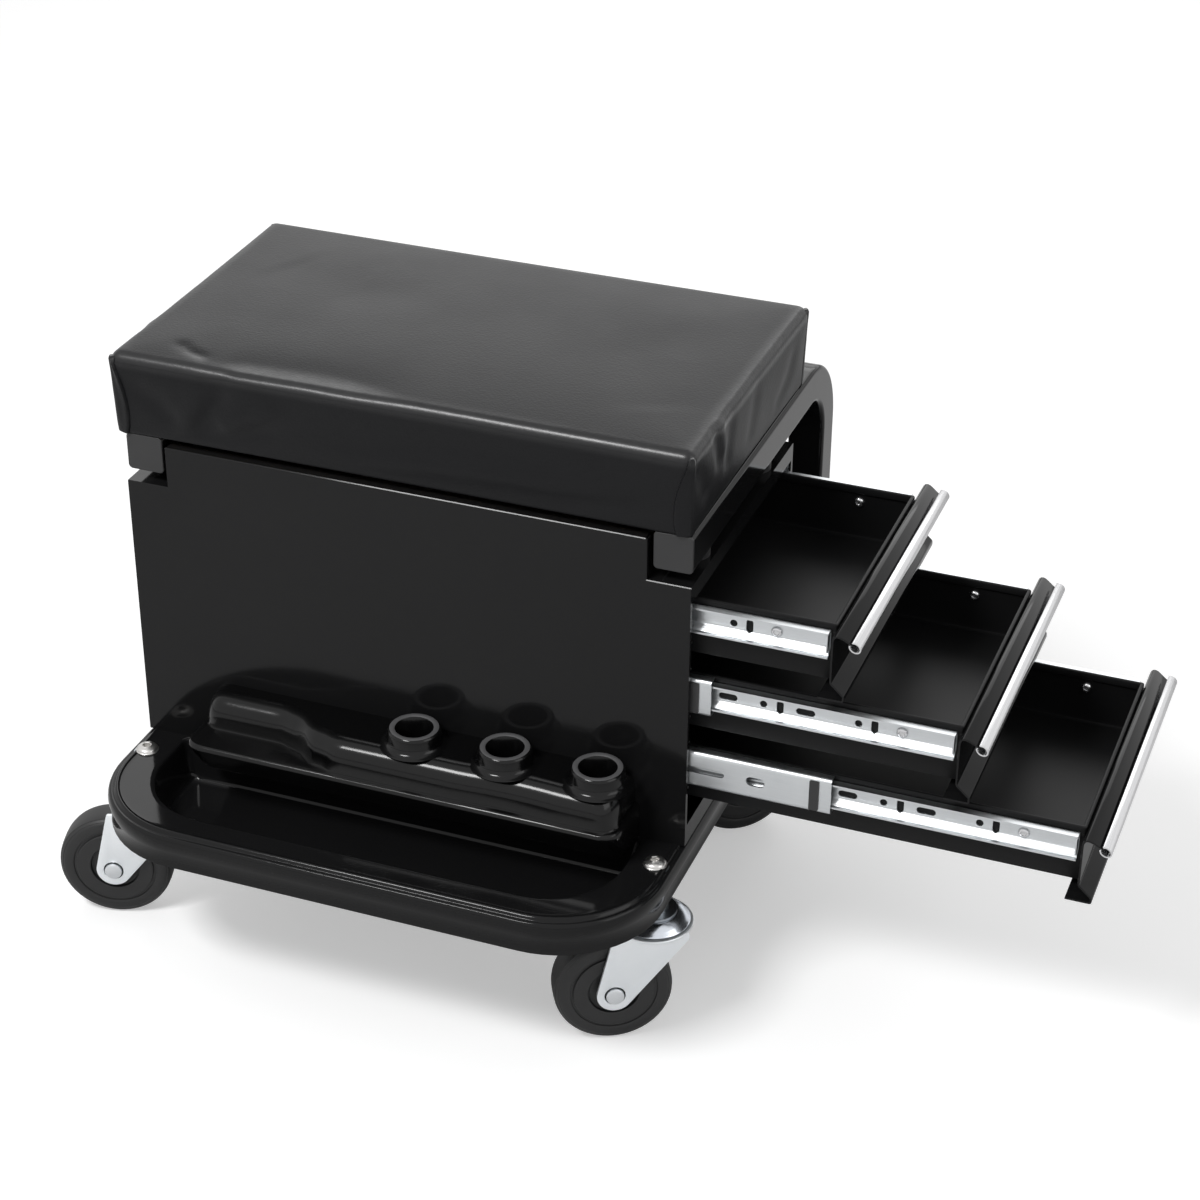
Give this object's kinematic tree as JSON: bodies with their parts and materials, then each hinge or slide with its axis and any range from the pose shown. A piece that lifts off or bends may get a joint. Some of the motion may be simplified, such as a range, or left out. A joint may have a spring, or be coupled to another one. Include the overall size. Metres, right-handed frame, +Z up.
{
  "type": "creeper seat",
  "caption": "Rolling workshop seat with a padded top over a steel cabinet of sliding drawers, tool trays at its foot and swivel casters.",
  "frame": {"origin": "on the floor, under the middle of the whole part's footprint with its drawers drawn out as they rest", "axes": "+X the way the drawers open, +Y from the front panel to the rear tubes, +Z up"},
  "size_m": [0.6916, 0.418, 0.403],
  "materials": {
    "gloss_black_paint": "gloss",
    "gloss_black_plastic": "gloss",
    "seat_vinyl": "satin",
    "seat_foam": "matt",
    "plywood": "matt",
    "black_plastic": "satin",
    "zinc_plate": "satin",
    "dark_zinc": "satin",
    "bright_steel": "polished",
    "aluminium": "satin",
    "black_rubber": "satin"
  },
  "bodies": {
    "seat_and_cabinet": {"base_pan": "gloss_black_paint", "tool_holder": "gloss_black_plastic", "front_panel": "gloss_black_paint", "rear_panel": "gloss_black_paint", "side_panel": "gloss_black_paint", "top_panel": "gloss_black_paint", "side_frame": "gloss_black_paint", "left_frame_tube": "gloss_black_paint", "right_frame_tube": "gloss_black_paint", "tube_end_plugs": "black_plastic", "tube_spacers": "black_plastic", "foot_plates": "gloss_black_paint", "foot_screws": "bright_steel", "seat_board": "plywood", "seat_foam": "seat_foam", "seat_cover": "seat_vinyl", "seat_bolts": "zinc_plate", "cabinet_rails": "zinc_plate", "outer_ball_strips": "bright_steel", "caster_bolts": "bright_steel", "caster_spacers": "dark_zinc", "caster_top_races": "dark_zinc", "caster_ball_rings": "bright_steel", "caster_nuts": "zinc_plate"},
    "upper_slides": {"middle_slides_1": "zinc_plate", "slide_stops_1": "black_plastic", "ball_strips_1": "bright_steel"},
    "upper_drawer": {"drawer_box_1": "gloss_black_paint", "drawer_front_1": "gloss_black_paint", "drawer_grip_1": "aluminium", "inner_slides_1": "zinc_plate", "drawer_screws_1": "bright_steel"},
    "middle_slides": {"middle_slides_2": "zinc_plate", "slide_stops_2": "black_plastic", "ball_strips_2": "bright_steel"},
    "middle_drawer": {"drawer_box_2": "gloss_black_paint", "drawer_front_2": "gloss_black_paint", "drawer_grip_2": "aluminium", "inner_slides_2": "zinc_plate", "drawer_screws_2": "bright_steel"},
    "lower_slides": {"middle_slides_3": "zinc_plate", "slide_stops_3": "black_plastic", "ball_strips_3": "bright_steel"},
    "lower_drawer": {"drawer_box_3": "gloss_black_paint", "drawer_front_3": "gloss_black_paint", "drawer_grip_3": "aluminium", "inner_slides_3": "zinc_plate", "drawer_screws_3": "bright_steel"},
    "fork_front_left": {"fork_front_left": "zinc_plate", "axle_front_left": "zinc_plate"},
    "wheel_front_left": {"wheel_front_left": "black_rubber"},
    "fork_front_right": {"fork_front_right": "zinc_plate", "axle_front_right": "zinc_plate"},
    "wheel_front_right": {"wheel_front_right": "black_rubber"},
    "fork_rear_left": {"fork_rear_left": "zinc_plate", "axle_rear_left": "zinc_plate"},
    "wheel_rear_left": {"wheel_rear_left": "black_rubber"},
    "fork_rear_right": {"fork_rear_right": "zinc_plate", "axle_rear_right": "zinc_plate"},
    "wheel_rear_right": {"wheel_rear_right": "black_rubber"}
  },
  "joints": [
    {"name": "upper_slide_travel", "type": "slide", "parent": "seat_and_cabinet", "child": "upper_slides", "axis": [1, 0, 0], "range_m": [0, 0.152]},
    {"name": "upper_drawer_travel", "type": "slide", "parent": "upper_slides", "child": "upper_drawer", "axis": [1, 0, 0], "range_m": [-0.078, 0.0625]},
    {"name": "middle_slide_travel", "type": "slide", "parent": "seat_and_cabinet", "child": "middle_slides", "axis": [1, 0, 0], "range_m": [-0.0175, 0.1345]},
    {"name": "middle_drawer_travel", "type": "slide", "parent": "middle_slides", "child": "middle_drawer", "axis": [1, 0, 0], "range_m": [-0.1405, 0]},
    {"name": "lower_slide_travel", "type": "slide", "parent": "seat_and_cabinet", "child": "lower_slides", "axis": [1, 0, 0], "range_m": [-0.0955, 0.0565]},
    {"name": "lower_drawer_travel", "type": "slide", "parent": "lower_slides", "child": "lower_drawer", "axis": [1, 0, 0], "range_m": [-0.1405, 0]},
    {"name": "swivel_front_left", "type": "hinge", "parent": "seat_and_cabinet", "child": "fork_front_left", "pos_m": [-0.28233, -0.125, 0.038], "axis": [0, 0, 1], "continuous": true},
    {"name": "roll_front_left", "type": "hinge", "parent": "fork_front_left", "child": "wheel_front_left", "pos_m": [-0.30767, -0.13275, 0.038], "axis": [0.2924, -0.9563, 0], "continuous": true},
    {"name": "swivel_front_right", "type": "hinge", "parent": "seat_and_cabinet", "child": "fork_front_right", "pos_m": [0.07167, -0.125, 0.038], "axis": [0, 0, 1], "continuous": true},
    {"name": "roll_front_right", "type": "hinge", "parent": "fork_front_right", "child": "wheel_front_right", "pos_m": [0.04849, -0.13785, 0.038], "axis": [0.4848, -0.8746, 0], "continuous": true},
    {"name": "swivel_rear_left", "type": "hinge", "parent": "seat_and_cabinet", "child": "fork_rear_left", "pos_m": [-0.28233, 0.125, 0.038], "axis": [0, 0, 1], "continuous": true},
    {"name": "roll_rear_left", "type": "hinge", "parent": "fork_rear_left", "child": "wheel_rear_left", "pos_m": [-0.30707, 0.1155, 0.038], "axis": [0.3584, -0.9336, 0], "continuous": true},
    {"name": "swivel_rear_right", "type": "hinge", "parent": "seat_and_cabinet", "child": "fork_rear_right", "pos_m": [0.07167, 0.125, 0.038], "axis": [0, 0, 1], "continuous": true},
    {"name": "roll_rear_right", "type": "hinge", "parent": "fork_rear_right", "child": "wheel_rear_right", "pos_m": [0.05079, 0.10869, 0.038], "axis": [0.6157, -0.788, 0], "continuous": true}
  ]
}
